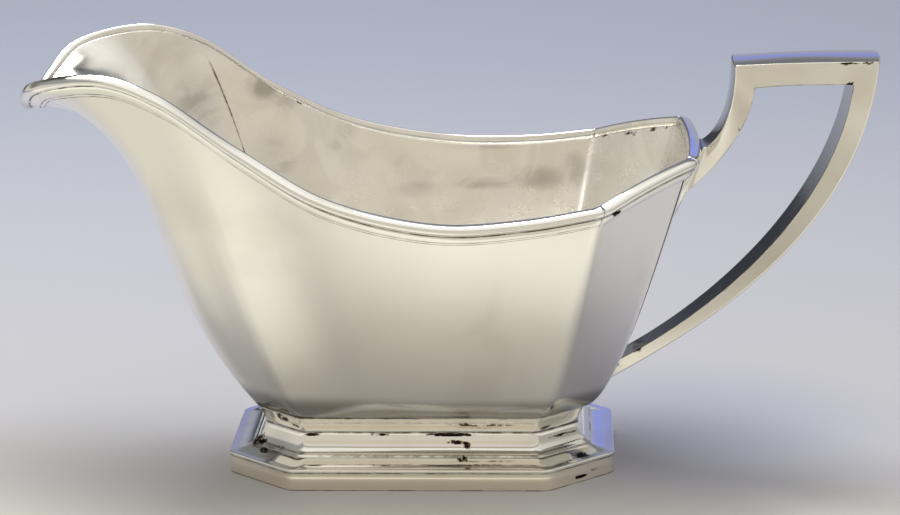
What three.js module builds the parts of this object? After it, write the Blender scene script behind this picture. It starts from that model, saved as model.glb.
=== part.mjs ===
// Panelled sauce boat: an eight-sided bowl drawn out into a spout, moulded rim wire,
// a hollow stepped foot with an edge band, and a squared strap handle.
// Millimetres, +Z up, spout towards -X, handle towards +X, mirrored about Y = 0.
import * as THREE from 'three';

// Sheet and gaps
const BOWL_SHEET = 1.1;
const FOOT_SHEET = 0.9;
const SOLDER_GAP = 0.3;

// Foot: an octagon at the waist, and each level set outwards from it
const WAIST_HALF_LENGTH = 37.2;
const WAIST_HALF_WIDTH = 20.1;
const WAIST_CANT_LENGTH = 10.0;
const WAIST_CANT_WIDTH = 8.4;
const FOOT_HEIGHT = 15.4;
const COLLAR_OVERHANG = 1.7;
const WAIST_HEIGHT = 11.4;
const COVE_REACH = 2.8;
const COVE_HEIGHT = 6.7;
const COVE_STEP = { reach: 0.2, fall: 0.35 };
const FLANGE_REACH = 8.5;
const FLANGE_HEIGHT = 5.1;
const FLANGE_LEDGE = 0.2;
const BAND_THICKNESS = 1.5;
// Where the control points of the foot's curves lie between their ends, as shares
const COLLAR_BEND = { reach: 0.9, fall: 0.55 };
const COVE_UPPER_BEND = { reach: 0.1, fall: 0.5 };
const COVE_LOWER_BEND = { reach: 0.4, fall: 0.85 };
const FLANGE_BEND = { reach: 0.4, fall: 0.76 };

// Rim of the bowl, measured from the bowl's underside: the crest of the rim wire
const SPOUT_TIP = { x: -91.9, y: 0, z: 71.2 };
const SPOUT_BEAK = { x: -90.7, y: 15.0, z: 74.8 };
const SPOUT_LIP = { x: -85.8, y: 26.3, z: 80.5 };
const SPOUT_SHOULDER = { x: -70.0, y: 32.6, z: 83.7 };
const SPOUT_THROAT = { x: -57.0, y: 35.8, z: 80.3 };
const SIDE_RISE = { x: -38.0, y: 37.2, z: 67.8 };
const SIDE_FRONT = { x: -19.0, y: 42.4, z: 57.9 };
const SIDE_LOW = { x: 6.0, y: 45.3, z: 52.8 };
const SIDE_REAR = { x: 26.0, y: 42.8, z: 53.2 };
const SIDE_CORNER = { x: 42.3, y: 40.1, z: 55.3 };
const END_CORNER = { x: 63.1, y: 22.3, z: 62.3 };
const END_BOW = 1.0;
const END_ARCH = 0.5;
const CANT_ARCH = 0.6;

// Wall between the foot and the crest: where the control points of its profile lie, as
// shares of the reach and of the rise
const WALL_BENDS = [{ reach: 0.24, rise: 0.02 }, { reach: 0.56, rise: 0.4 }];
const SPOUT_BENDS = [{ reach: 0.61, rise: 0.5 }, { reach: 0.3, rise: 0.98 }];

// How far the wall follows the spout's profile at the crease behind the spout, and how
// soon that fades towards the tip and along the side panel
const CREASE_SHARE = 0.4;
const TIP_FADE = 1.5;
const SIDE_FADE = 2.5;

// Rim wire section, in mm outwards from the wall and down from the crest
const BEAD_WIDTH = 2.9;
const BEAD_DEPTH = 2.2;
// The bead's arc as a share of a half circle, from its inside round to the quirk
const BEAD_TURN = 1.12;
const QUIRK = { width: 0.35, depth: 0.5, fall: 0.1 };
const REBATE_DEPTH = 2.4;
const FILLET_PROUD = 1.3;
const FILLET_DEPTH = 3.7;
const EDGE_PROUD = 0.85;
const RIM_DEPTH = 4.5;
const MITRE_GAP = 0.3;
// An offset at a corner grows no more than this share allows
const MITRE_LIMIT = 0.7;
// The lap is thinner at the spout's tip, and full at this distance from it
const TIP_LAP = 0.45;
const TIP_TAPER = 22;
// How much deeper the lap hangs along the spout, as a share of its own depth
const SPOUT_LAP_DROP = 0.9;

// Handle, measured in the plane of symmetry from the bowl's underside
const HANDLE_TOP_FRONT = { x: 73.2, z: 80.3 };
const HANDLE_TOP_REAR = { x: 106.0, z: 81.1 };
const HANDLE_BAR_DEPTH = 5.3;
const HANDLE_LEG_DEPTH = 4.5;
const HANDLE_SWEEP_DEPTH = 5.8;
const HANDLE_HALF_WIDTH_LEG = 4.8;
const HANDLE_HALF_WIDTH_FRONT = 6.8;
const HANDLE_HALF_WIDTH_REAR = 7.3;
const HANDLE_HALF_WIDTH_FOOT = 4.0;
const HANDLE_CROWN_LEG = 0.1;
const HANDLE_CROWN_FRONT = 0.8;
const HANDLE_CROWN_REAR = 1.0;
const HANDLE_CROWN_FOOT = 0.5;
// Places across the strap where the crown is cut, as shares of the half width
const CROWN_SHARES = [-0.92, -0.5, 0, 0.5, 0.92];
const CROWN_FULLNESS = 0.8;
const HANDLE_CHAMFER = 0.45;
// How far each inner control point of the handle's curves lies from its own end
const LEG_OUTER_PULLS = [{ x: 2.6, z: 1.0 }, { x: 0.2, z: -14.2 }];
const LEG_INNER_PULLS = [{ x: 4.4, z: 3.2 }, { x: -0.5, z: -11.2 }];
const BAR_OUTER_PULLS = [{ x: 10.8, z: 0.5 }, { x: -10.8, z: 0 }];
const BAR_INNER_PULLS = [{ x: 8.6, z: 0.8 }, { x: -8.6, z: 0 }];
const SWEEP_OUTER_PULLS = [{ x: -3.0, z: -43.6 }, { x: 19.1, z: 11.1 }];
const SWEEP_INNER_PULLS = [{ x: -3.7, z: -33.2 }, { x: 18.4, z: 9.2 }];
const LEG_SEAT_TOP = 60.2;
const LEG_SEAT_BOTTOM = 49.3;
const SWEEP_SEAT_TOP = 7.8;
const SWEEP_SEAT_BOTTOM = 2.2;

// Backing plate under the handle's upper end
const PLATE_TOP = 57.7;
const PLATE_BOTTOM = 41.0;
const PLATE_HALF_WIDTH = 6.6;
const PLATE_THICK_TOP = 2.2;
const PLATE_THICK_BOTTOM = 0.8;
const PLATE_TIP_SHARE = 0.12;

// How finely the curves are cut
const STEPS = { frontPanel: 5, frontCant: 8, side: 14, rearCant: 4, endPanel: 3 };
const WALL_STEPS = 15;
const WALL_SPACING = 1.3;
const BEAD_STEPS = 6;
const FOOT_STEPS = { collar: 4, cove: 6, flange: 4 };
const HANDLE_STEPS = { leg: 8, bar: 4, sweep: 16 };
const PLATE_STEPS = 8;
// Step along the wall, as a share of its profile, for its lengths and its normals
const WALL_NUDGE = 0.01;

const silver = new THREE.MeshStandardMaterial({ color: 0xd6d3c8, roughness: 0.16, metalness: 1 });
const castSilver = new THREE.MeshStandardMaterial({ color: 0xcfccc2, roughness: 0.2, metalness: 1 });
const wireSilver = new THREE.MeshStandardMaterial({ color: 0xdcdad2, roughness: 0.14, metalness: 1 });

const v3 = (x, y, z) => new THREE.Vector3(x, y, z);
const lerp = THREE.MathUtils.lerp;

// Joins rings of equal length into one closed body: capped at both ends, or looped.
// capOutline is the ring in its own plane, needed where the section is hollow-sided.
function loft(rings, { looped = false, capOutline = null } = {}) {
  const size = rings[0].length;
  const points = rings.flat();
  const faces = [];
  const last = looped ? rings.length : rings.length - 1;
  for (let i = 0; i < last; i += 1) {
    const lower = i * size;
    const upper = ((i + 1) % rings.length) * size;
    for (let j = 0; j < size; j += 1) {
      const k = (j + 1) % size;
      faces.push([lower + j, lower + k, upper + k], [lower + j, upper + k, upper + j]);
    }
  }
  const addCap = (start, turned) => {
    const ring = points.slice(start, start + size);
    let triangles;
    if (capOutline) {
      triangles = THREE.ShapeUtils.triangulateShape(capOutline, [])
        .map(([a, b, c]) => [start + a, start + b, start + c]);
      if (THREE.ShapeUtils.isClockWise(capOutline)) triangles = triangles.map(([a, b, c]) => [a, c, b]);
    } else {
      const centre = ring.reduce((sum, p) => sum.add(p), v3(0, 0, 0)).divideScalar(size);
      const middle = points.push(centre) - 1;
      triangles = ring.map((p, j) => [middle, start + j, start + ((j + 1) % size)]);
    }
    for (const [a, b, c] of triangles) faces.push(turned ? [a, c, b] : [a, b, c]);
  };
  if (!looped) {
    addCap(0, true);
    addCap((rings.length - 1) * size, false);
  }
  return closedBody(points, faces);
}

// A BufferGeometry from points and triangles, with the faces turned to point out.
function closedBody(points, faces) {
  let volume = 0;
  for (const [a, b, c] of faces) {
    volume += points[a].dot(v3(0, 0, 0).crossVectors(points[b], points[c]));
  }
  const index = volume < 0 ? faces.map(([a, b, c]) => [a, c, b]) : faces;
  const geometry = new THREE.BufferGeometry();
  geometry.setFromPoints(points);
  geometry.setIndex(index.flat());
  geometry.computeVertexNormals();
  return geometry;
}

function piece(name, geometry, material) {
  const mesh = new THREE.Mesh(geometry, material);
  mesh.name = name;
  return mesh;
}

// The eight corners of the waist octagon moved outwards by the same distance on
// every side, from the front end round the right side to the front end again.
function octagon(offset) {
  const length = WAIST_HALF_LENGTH + offset;
  const width = WAIST_HALF_WIDTH + offset;
  const normal = new THREE.Vector2(WAIST_CANT_WIDTH, WAIST_CANT_LENGTH).normalize();
  const reach = normal.x * (WAIST_HALF_LENGTH - WAIST_CANT_LENGTH)
    + normal.y * WAIST_HALF_WIDTH + offset;
  const endY = (reach - normal.x * length) / normal.y;
  const sideX = (reach - normal.y * width) / normal.x;
  return [
    [-length, -endY], [-sideX, -width], [sideX, -width], [length, -endY],
    [length, endY], [sideX, width], [-sideX, width], [-length, endY],
  ].map(([x, y]) => new THREE.Vector2(x, y));
}

// Foot

// Moves an open profile of (offset, height) points sideways by a distance.
function besideProfile(profile, distance) {
  return profile.map((point, i) => {
    const before = profile[Math.max(i - 1, 0)];
    const after = profile[Math.min(i + 1, profile.length - 1)];
    const along = after.clone().sub(before).normalize();
    return new THREE.Vector2(point.x + along.y * distance, point.y - along.x * distance);
  });
}

// A control point between two ends, at its own share of the reach and of the fall.
function bend(from, to, { reach, fall }) {
  return new THREE.Vector2(lerp(from.x, to.x, reach), lerp(from.y, to.y, fall));
}

function footProfile() {
  const joint = new THREE.Vector2(COLLAR_OVERHANG, FOOT_HEIGHT);
  const waist = new THREE.Vector2(0, WAIST_HEIGHT);
  const coveEnd = new THREE.Vector2(COVE_REACH, COVE_HEIGHT);
  const flangeStart = new THREE.Vector2(COVE_REACH + COVE_STEP.reach, COVE_HEIGHT - COVE_STEP.fall);
  const flangeEnd = new THREE.Vector2(FLANGE_REACH - BAND_THICKNESS - FLANGE_LEDGE, FLANGE_HEIGHT);
  const collar = new THREE.QuadraticBezierCurve(joint, bend(joint, waist, COLLAR_BEND), waist);
  const cove = new THREE.CubicBezierCurve(
    waist, bend(waist, coveEnd, COVE_UPPER_BEND), bend(waist, coveEnd, COVE_LOWER_BEND), coveEnd,
  );
  const flange = new THREE.QuadraticBezierCurve(
    flangeStart, bend(flangeStart, flangeEnd, FLANGE_BEND), flangeEnd,
  );
  return [
    ...collar.getPoints(FOOT_STEPS.collar),
    ...cove.getPoints(FOOT_STEPS.cove).slice(1),
    ...flange.getPoints(FOOT_STEPS.flange),
    new THREE.Vector2(FLANGE_REACH, FLANGE_HEIGHT),
  ];
}

function makeFoot() {
  const outer = footProfile();
  const inner = besideProfile(outer, FOOT_SHEET);
  inner[0].y = FOOT_HEIGHT;
  inner[inner.length - 1].set(FLANGE_REACH, FLANGE_HEIGHT - FOOT_SHEET);
  inner[inner.length - 2].y = FLANGE_HEIGHT - FOOT_SHEET;
  const section = [...outer, ...inner.reverse()];
  const rings = section.map((p) => octagon(p.x).map((corner) => v3(corner.x, corner.y, p.y)));
  return loft(rings, { looped: true });
}

function makeFootBand() {
  const top = FLANGE_HEIGHT - FOOT_SHEET;
  const inside = FLANGE_REACH - BAND_THICKNESS;
  const section = [[FLANGE_REACH, top], [FLANGE_REACH, 0], [inside, 0], [inside, top]];
  const rings = section.map(([offset, z]) => octagon(offset).map((c) => v3(c.x, c.y, z)));
  return loft(rings, { looped: true });
}

// Bowl

// Reach and rise of the wall, as shares of the way from the bottom edge to the crest.
function profile([lower, upper]) {
  return new THREE.CubicBezierCurve(
    new THREE.Vector2(0, 0), new THREE.Vector2(lower.reach, lower.rise),
    new THREE.Vector2(upper.reach, upper.rise), new THREE.Vector2(1, 1),
  );
}

const wallProfile = profile(WALL_BENDS);
const spoutProfile = profile(SPOUT_BENDS);

const rimPoint = (p) => v3(p.x, -p.y, p.z);

// Stations on the right side, from the middle of the spout to the middle of the end:
// the foot of the wall, the crest above it, and how much it follows the spout.
function rightStations() {
  const [frontCorner, sideFront, sideRear, rearCorner] = octagon(COLLAR_OVERHANG);
  const frontMiddle = new THREE.Vector2(frontCorner.x, 0);
  const rearMiddle = new THREE.Vector2(rearCorner.x, 0);
  const crestPoints = [
    SPOUT_TIP, SPOUT_BEAK, SPOUT_LIP, SPOUT_SHOULDER, SPOUT_THROAT,
    SIDE_RISE, SIDE_FRONT, SIDE_LOW, SIDE_REAR, SIDE_CORNER,
  ];
  // The left side's beak comes first, so that the lip runs smoothly across the tip
  const leftBeak = v3(SPOUT_BEAK.x, SPOUT_BEAK.y, SPOUT_BEAK.z);
  const crest = new THREE.CatmullRomCurve3(
    [leftBeak, ...crestPoints.map(rimPoint)], false, 'centripetal',
  );
  const placeOf = (point) => (1 + crestPoints.indexOf(point)) / crestPoints.length;
  const tip = placeOf(SPOUT_TIP);
  const beak = placeOf(SPOUT_BEAK);
  const throat = placeOf(SPOUT_THROAT);
  const stations = [];
  const addPanel = (steps, footFrom, footTo, crestAt, shareAt) => {
    for (let i = stations.length ? 1 : 0; i <= steps; i += 1) {
      const t = i / steps;
      const foot = footFrom.clone().lerp(footTo, t);
      const point = crestAt(t);
      const fromTip = point.distanceTo(rimPoint(SPOUT_TIP)) / TIP_TAPER;
      stations.push({ foot: v3(foot.x, foot.y, 0), crest: point, share: shareAt(t), fromTip });
    }
  };
  addPanel(STEPS.frontPanel, frontMiddle, frontCorner,
    (t) => crest.getPoint(lerp(tip, beak, t)), () => 1);
  addPanel(STEPS.frontCant, frontCorner, sideFront,
    (t) => crest.getPoint(lerp(beak, throat, t)), (t) => lerp(CREASE_SHARE, 1, (1 - t) ** TIP_FADE));
  addPanel(STEPS.side, sideFront, sideRear,
    (t) => crest.getPoint(lerp(throat, 1, t)), (t) => CREASE_SHARE * (1 - t) ** SIDE_FADE);
  const sideCorner = rimPoint(SIDE_CORNER);
  const endCorner = rimPoint(END_CORNER);
  addPanel(STEPS.rearCant, sideRear, rearCorner, (t) => {
    const p = sideCorner.clone().lerp(endCorner, t);
    p.z += CANT_ARCH * 4 * t * (1 - t);
    return p;
  }, () => 0);
  addPanel(STEPS.endPanel, rearCorner, rearMiddle, (t) => v3(
    END_CORNER.x + END_BOW * (1 - (1 - t) ** 2),
    -END_CORNER.y * (1 - t),
    END_CORNER.z + END_ARCH * (1 - (1 - t) ** 2),
  ), () => 0);
  return stations;
}

function allStations() {
  const right = rightStations();
  const flip = (p) => v3(p.x, -p.y, p.z);
  const left = right.slice(1, -1).reverse()
    .map((s) => ({ ...s, foot: flip(s.foot), crest: flip(s.crest) }));
  return [...right, ...left];
}

// Point of the outer wall at a station: height share t runs from 0 to 1.
function wallPoint(station, t) {
  const wall = wallProfile.getPoint(t);
  const spout = spoutProfile.getPoint(t);
  const reach = lerp(wall.x, spout.x, station.share);
  const rise = lerp(wall.y, spout.y, station.share);
  return v3(
    lerp(station.foot.x, station.crest.x, reach),
    lerp(station.foot.y, station.crest.y, reach),
    station.crest.z * rise,
  );
}

// The place t on the wall that lies a given distance below the crest.
function shareBelow(station, depth) {
  let travelled = 0;
  let t = 1;
  let here = wallPoint(station, t);
  while (t > WALL_NUDGE) {
    const next = wallPoint(station, t - WALL_NUDGE);
    const length = next.distanceTo(here);
    if (travelled + length >= depth) return t - (WALL_NUDGE * (depth - travelled)) / length;
    travelled += length;
    here = next;
    t -= WALL_NUDGE;
  }
  return t;
}

// Outward normal of the wall, lengthened at a corner so that offsets meet in a mitre.
function wallNormal(stations, i, t) {
  const count = stations.length;
  const here = wallPoint(stations[i], t);
  const before = wallPoint(stations[(i + count - 1) % count], t);
  const after = wallPoint(stations[(i + 1) % count], t);
  const above = wallPoint(stations[i], Math.min(t + WALL_NUDGE, 1));
  const below = wallPoint(stations[i], Math.max(t - WALL_NUDGE, 0));
  const rise = above.sub(below);
  const first = here.clone().sub(before).cross(rise).normalize();
  const second = after.clone().sub(here).cross(rise).normalize();
  const mean = first.clone().add(second).normalize();
  return mean.divideScalar(Math.max(mean.dot(first), MITRE_LIMIT));
}

function makeBowl(stations) {
  const outer = [];
  const inner = [];
  for (let k = 0; k <= WALL_STEPS; k += 1) {
    const outerRing = [];
    const innerRing = [];
    stations.forEach((station, i) => {
      const top = shareBelow(station, REBATE_DEPTH);
      const t = top * (1 - (1 - k / WALL_STEPS) ** WALL_SPACING);
      const point = wallPoint(station, t);
      const inside = point.clone().addScaledVector(wallNormal(stations, i, t), -BOWL_SHEET);
      if (k === 0) inside.z = BOWL_SHEET;
      outerRing.push(point);
      innerRing.push(inside);
    });
    outer.push(outerRing);
    inner.unshift(innerRing);
  }
  return loft([...outer, ...inner]);
}

// Rim wire

// Section as (outwards from the wall, down from the crest): a round bead that sits on
// the sheet's edge, then a fillet and a fine edge that lap over the outside.
function rimSection() {
  const insideFace = -BOWL_SHEET;
  const beadRadius = BEAD_WIDTH / 2;
  const beadMiddle = insideFace + beadRadius;
  const bead = [];
  for (let i = 0; i <= BEAD_STEPS; i += 1) {
    const angle = Math.PI * (1 - (i / BEAD_STEPS) * BEAD_TURN);
    bead.push([
      beadMiddle + beadRadius * Math.cos(angle),
      BEAD_DEPTH / 2 - (BEAD_DEPTH / 2) * Math.sin(angle),
    ]);
  }
  return [
    [insideFace, REBATE_DEPTH - SOLDER_GAP],
    ...bead,
    [FILLET_PROUD - QUIRK.width, BEAD_DEPTH + QUIRK.fall],
    [FILLET_PROUD, BEAD_DEPTH + QUIRK.depth],
    [FILLET_PROUD, FILLET_DEPTH],
    [EDGE_PROUD, FILLET_DEPTH + QUIRK.fall],
    [EDGE_PROUD, RIM_DEPTH],
    [SOLDER_GAP, RIM_DEPTH],
    [SOLDER_GAP, REBATE_DEPTH - SOLDER_GAP],
  ];
}

function makeRimWire(stations, from, to) {
  const section = rimSection();
  const count = stations.length;
  const rings = [];
  for (let n = from; n <= to; n += 1) {
    const i = (n + count) % count;
    const fromTip = Math.min(stations[i].fromTip, 1);
    const lap = lerp(TIP_LAP, 1, fromTip);
    const drop = 1 + SPOUT_LAP_DROP * fromTip * Math.min(stations[i].share / CREASE_SHARE, 1);
    rings.push(section.map(([outwards, depth]) => {
      const lowered = depth > REBATE_DEPTH ? lerp(REBATE_DEPTH, depth, drop) : Math.max(depth, 0);
      const t = shareBelow(stations[i], lowered);
      const reach = outwards > SOLDER_GAP ? lerp(SOLDER_GAP, outwards, lap) : outwards;
      return wallPoint(stations[i], t).addScaledVector(wallNormal(stations, i, t), reach);
    }));
  }
  // Half of the mitre gap comes off each end
  const trim = (ring, next) => {
    const inwards = next[0].clone().sub(ring[0]).normalize().multiplyScalar(MITRE_GAP / 2);
    ring.forEach((p) => p.add(inwards));
  };
  trim(rings[0], rings[1]);
  trim(rings[rings.length - 1], rings[rings.length - 2]);
  const outline = section.map(([x, y]) => new THREE.Vector2(x, -y));
  return loft(rings, { capOutline: outline });
}

// Handle

// Outside of the end panel in the plane of symmetry, at a height above the underside.
function endWallX(stations, height) {
  const middle = stations.find((s) => s.foot.y === 0 && s.foot.x > 0);
  let low = 0;
  let high = 1;
  for (let i = 0; i < 30; i += 1) {
    const t = (low + high) / 2;
    if (wallPoint(middle, t).z < height) low = t;
    else high = t;
  }
  return wallPoint(middle, low).x;
}

// Outer face of the backing plate: a plane that leans a little more than the wall.
function plateFaceX(stations, height) {
  const top = endWallX(stations, PLATE_TOP) + SOLDER_GAP + PLATE_THICK_TOP;
  const bottom = endWallX(stations, PLATE_BOTTOM) + SOLDER_GAP + PLATE_THICK_BOTTOM;
  return lerp(bottom, top, (height - PLATE_BOTTOM) / (PLATE_TOP - PLATE_BOTTOM));
}

function makeBackingPlate(stations) {
  const rings = [];
  for (let i = 0; i <= PLATE_STEPS; i += 1) {
    const t = i / PLATE_STEPS;
    const z = lerp(PLATE_BOTTOM, PLATE_TOP, t);
    const half = PLATE_HALF_WIDTH * lerp(PLATE_TIP_SHARE, 1, Math.sqrt(1 - (1 - t) ** 2));
    const inner = endWallX(stations, z) + SOLDER_GAP;
    const outer = plateFaceX(stations, z);
    rings.push([v3(inner, -half, z), v3(outer, -half, z), v3(outer, half, z), v3(inner, half, z)]);
  }
  return loft(rings);
}

// A curve in the plane of symmetry, each of whose ends is pulled by one control point.
function pulled(start, [startPull, endPull], end) {
  const inSide = (p, pull = { x: 0, z: 0 }) => v3(p.x + pull.x, 0, p.z + pull.z);
  return new THREE.CubicBezierCurve3(
    inSide(start), inSide(start, startPull), inSide(end, endPull), inSide(end),
  );
}

// Outer and inner outlines of the strap, from the upper seat to the lower one.
function handleOutlines(stations) {
  const seatX = (z) => plateFaceX(stations, z) + SOLDER_GAP;
  const legOuterStart = { x: seatX(LEG_SEAT_TOP), z: LEG_SEAT_TOP };
  const legInnerStart = { x: seatX(LEG_SEAT_BOTTOM), z: LEG_SEAT_BOTTOM };
  const innerFront = {
    x: HANDLE_TOP_FRONT.x + HANDLE_LEG_DEPTH, z: HANDLE_TOP_FRONT.z - HANDLE_BAR_DEPTH,
  };
  const innerRear = {
    x: HANDLE_TOP_REAR.x - HANDLE_SWEEP_DEPTH, z: HANDLE_TOP_REAR.z - HANDLE_BAR_DEPTH,
  };
  const sweepOuterEnd = {
    x: endWallX(stations, SWEEP_SEAT_BOTTOM) + SOLDER_GAP, z: SWEEP_SEAT_BOTTOM,
  };
  const sweepInnerEnd = {
    x: endWallX(stations, SWEEP_SEAT_TOP) + SOLDER_GAP, z: SWEEP_SEAT_TOP,
  };
  return [
    {
      steps: HANDLE_STEPS.leg,
      outer: pulled(legOuterStart, LEG_OUTER_PULLS, HANDLE_TOP_FRONT),
      inner: pulled(legInnerStart, LEG_INNER_PULLS, innerFront),
    },
    {
      steps: HANDLE_STEPS.bar,
      outer: pulled(HANDLE_TOP_FRONT, BAR_OUTER_PULLS, HANDLE_TOP_REAR),
      inner: pulled(innerFront, BAR_INNER_PULLS, innerRear),
    },
    {
      steps: HANDLE_STEPS.sweep,
      outer: pulled(HANDLE_TOP_REAR, SWEEP_OUTER_PULLS, sweepOuterEnd),
      inner: pulled(innerRear, SWEEP_INNER_PULLS, sweepInnerEnd),
    },
  ];
}

// One ring of the strap: flat inside, upright sides, and a low crown outside.
function strapRing(inner, outer, halfWidth, crown) {
  const outwards = outer.clone().sub(inner);
  const depth = outwards.length();
  outwards.normalize();
  const ring = [[-halfWidth, HANDLE_CHAMFER], [-halfWidth, depth - HANDLE_CHAMFER]];
  for (const share of CROWN_SHARES) {
    ring.push([share * halfWidth, depth + crown * (1 - share ** 2) ** CROWN_FULLNESS]);
  }
  ring.push([halfWidth, depth - HANDLE_CHAMFER], [halfWidth, HANDLE_CHAMFER]);
  ring.push([halfWidth - HANDLE_CHAMFER, 0], [-halfWidth + HANDLE_CHAMFER, 0]);
  return ring.map(([y, out]) => inner.clone().addScaledVector(outwards, out).add(v3(0, y, 0)));
}

function makeHandle(stations) {
  const rings = [];
  const halfWidths = [
    HANDLE_HALF_WIDTH_LEG, HANDLE_HALF_WIDTH_FRONT, HANDLE_HALF_WIDTH_REAR, HANDLE_HALF_WIDTH_FOOT,
  ];
  const crowns = [HANDLE_CROWN_LEG, HANDLE_CROWN_FRONT, HANDLE_CROWN_REAR, HANDLE_CROWN_FOOT];
  handleOutlines(stations).forEach(({ steps, outer, inner }, part) => {
    for (let i = rings.length ? 1 : 0; i <= steps; i += 1) {
      const t = i / steps;
      const half = lerp(halfWidths[part], halfWidths[part + 1], t);
      const crown = lerp(crowns[part], crowns[part + 1], t);
      rings.push(strapRing(inner.getPoint(t), outer.getPoint(t), half, crown));
    }
  });
  return loft(rings);
}

// Assembly

const stations = allStations();
const sideCornerIndex = STEPS.frontPanel + STEPS.frontCant + STEPS.side;
const endCornerIndex = sideCornerIndex + STEPS.rearCant;
const endCornerLeft = endCornerIndex + 2 * STEPS.endPanel;
const sideCornerLeft = endCornerLeft + STEPS.rearCant;

const footAssembly = new THREE.Group();
footAssembly.add(
  piece('foot', makeFoot(), silver),
  piece('foot_edge_band', makeFootBand(), wireSilver),
);

const bowlAssembly = new THREE.Group();
bowlAssembly.position.z = FOOT_HEIGHT;
bowlAssembly.add(
  piece('bowl', makeBowl(stations), silver),
  piece('rim_wire_front', makeRimWire(stations, sideCornerLeft - stations.length, sideCornerIndex),
    wireSilver),
  piece('rim_wire_rear_right', makeRimWire(stations, sideCornerIndex, endCornerIndex), wireSilver),
  piece('rim_wire_end', makeRimWire(stations, endCornerIndex, endCornerLeft), wireSilver),
  piece('rim_wire_rear_left', makeRimWire(stations, endCornerLeft, sideCornerLeft), wireSilver),
  piece('handle', makeHandle(stations), castSilver),
  piece('handle_backing_plate', makeBackingPlate(stations), silver),
);

// The origin is on the resting plane, under the middle of the whole object.
const sauceBoat = new THREE.Group();
const standing = new THREE.Group();
standing.add(footAssembly, bowlAssembly);
sauceBoat.add(standing);
sauceBoat.updateMatrixWorld(true);
const bounds = new THREE.Box3().setFromObject(sauceBoat, true);
standing.position.x = -(bounds.min.x + bounds.max.x) / 2;
sauceBoat.updateMatrixWorld(true);

export default sauceBoat;
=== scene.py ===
# Panelled sauce boat in silver plate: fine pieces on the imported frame, floor, light and camera.
import math

import bpy
import numpy as np
from mathutils import Matrix, Vector


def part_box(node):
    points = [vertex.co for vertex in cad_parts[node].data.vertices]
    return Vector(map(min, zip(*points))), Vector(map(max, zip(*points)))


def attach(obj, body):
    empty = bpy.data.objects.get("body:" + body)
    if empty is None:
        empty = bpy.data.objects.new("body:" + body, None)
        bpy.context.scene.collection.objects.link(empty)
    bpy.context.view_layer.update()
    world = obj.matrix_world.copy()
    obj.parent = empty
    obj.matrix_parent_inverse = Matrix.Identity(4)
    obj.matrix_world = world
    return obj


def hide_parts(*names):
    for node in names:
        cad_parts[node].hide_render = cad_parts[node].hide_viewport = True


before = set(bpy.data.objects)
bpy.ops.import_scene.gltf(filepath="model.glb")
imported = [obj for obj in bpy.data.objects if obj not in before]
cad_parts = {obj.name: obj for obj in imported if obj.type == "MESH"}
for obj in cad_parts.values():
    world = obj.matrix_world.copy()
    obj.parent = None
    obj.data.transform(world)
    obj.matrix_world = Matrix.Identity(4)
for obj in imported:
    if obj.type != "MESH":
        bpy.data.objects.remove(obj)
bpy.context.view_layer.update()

# Sizes are in millimetres, as in the part's own source
MM = 0.001
BOWL_SHEET = 1.1
FOOT_SHEET = 0.9

# Foot: the waist octagon, and each level set outwards from it
WAIST_HALF_LENGTH = 37.2
WAIST_HALF_WIDTH = 20.1
WAIST_CANT_LENGTH = 10.0
WAIST_CANT_WIDTH = 8.4
FOOT_HEIGHT = 15.4
COLLAR_OVERHANG = 1.7
WAIST_HEIGHT = 11.4
COVE_REACH = 2.8
COVE_HEIGHT = 6.7
COVE_STEP_REACH = 0.2
COVE_STEP_FALL = 0.35
FLANGE_REACH = 8.5
FLANGE_HEIGHT = 5.1
FLANGE_LEDGE = 0.2
BAND_THICKNESS = 1.5
# Control points of the foot's curves between their ends, as shares of reach and fall
COLLAR_BEND = (0.9, 0.55)
COVE_UPPER_BEND = (0.1, 0.5)
COVE_LOWER_BEND = (0.4, 0.85)
FLANGE_BEND = (0.4, 0.76)

# Crest of the rim, measured from the bowl's underside
SPOUT_TIP = (-91.9, 0, 71.2)
SPOUT_BEAK = (-90.7, 15.0, 74.8)
SPOUT_LIP = (-85.8, 26.3, 80.5)
SPOUT_SHOULDER = (-70.0, 32.6, 83.7)
SPOUT_THROAT = (-57.0, 35.8, 80.3)
SIDE_RISE = (-38.0, 37.2, 67.8)
SIDE_FRONT = (-19.0, 42.4, 57.9)
SIDE_LOW = (6.0, 45.3, 52.8)
SIDE_REAR = (26.0, 42.8, 53.2)
SIDE_CORNER = (42.3, 40.1, 55.3)
END_CORNER = (63.1, 22.3, 62.3)
END_BOW = 1.0
END_ARCH = 0.5
CANT_ARCH = 0.6

# Shape of the walls between the foot and the crest
WALL_CURVE = [(0, 0), (0.24, 0.02), (0.56, 0.4), (1, 1)]
SPOUT_CURVE = [(0, 0), (0.61, 0.5), (0.3, 0.98), (1, 1)]
CREASE_SHARE = 0.4
TIP_FADE = 1.5
SIDE_FADE = 2.5

# Rim wire
BEAD_WIDTH = 2.9
BEAD_DEPTH = 2.2
BEAD_TURN = 1.12
BEAD_INNER_FULLNESS = 0.5
QUIRK_WIDTH = 0.35
QUIRK_DEPTH = 0.5
QUIRK_FALL = 0.1
REBATE_DEPTH = 2.4
FILLET_PROUD = 1.3
FILLET_DEPTH = 3.7
EDGE_PROUD = 0.85
RIM_DEPTH = 4.5
MITRE_LIMIT = 0.7
TIP_LAP = 0.45
TIP_TAPER = 22
SPOUT_LAP_DROP = 0.9

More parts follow.
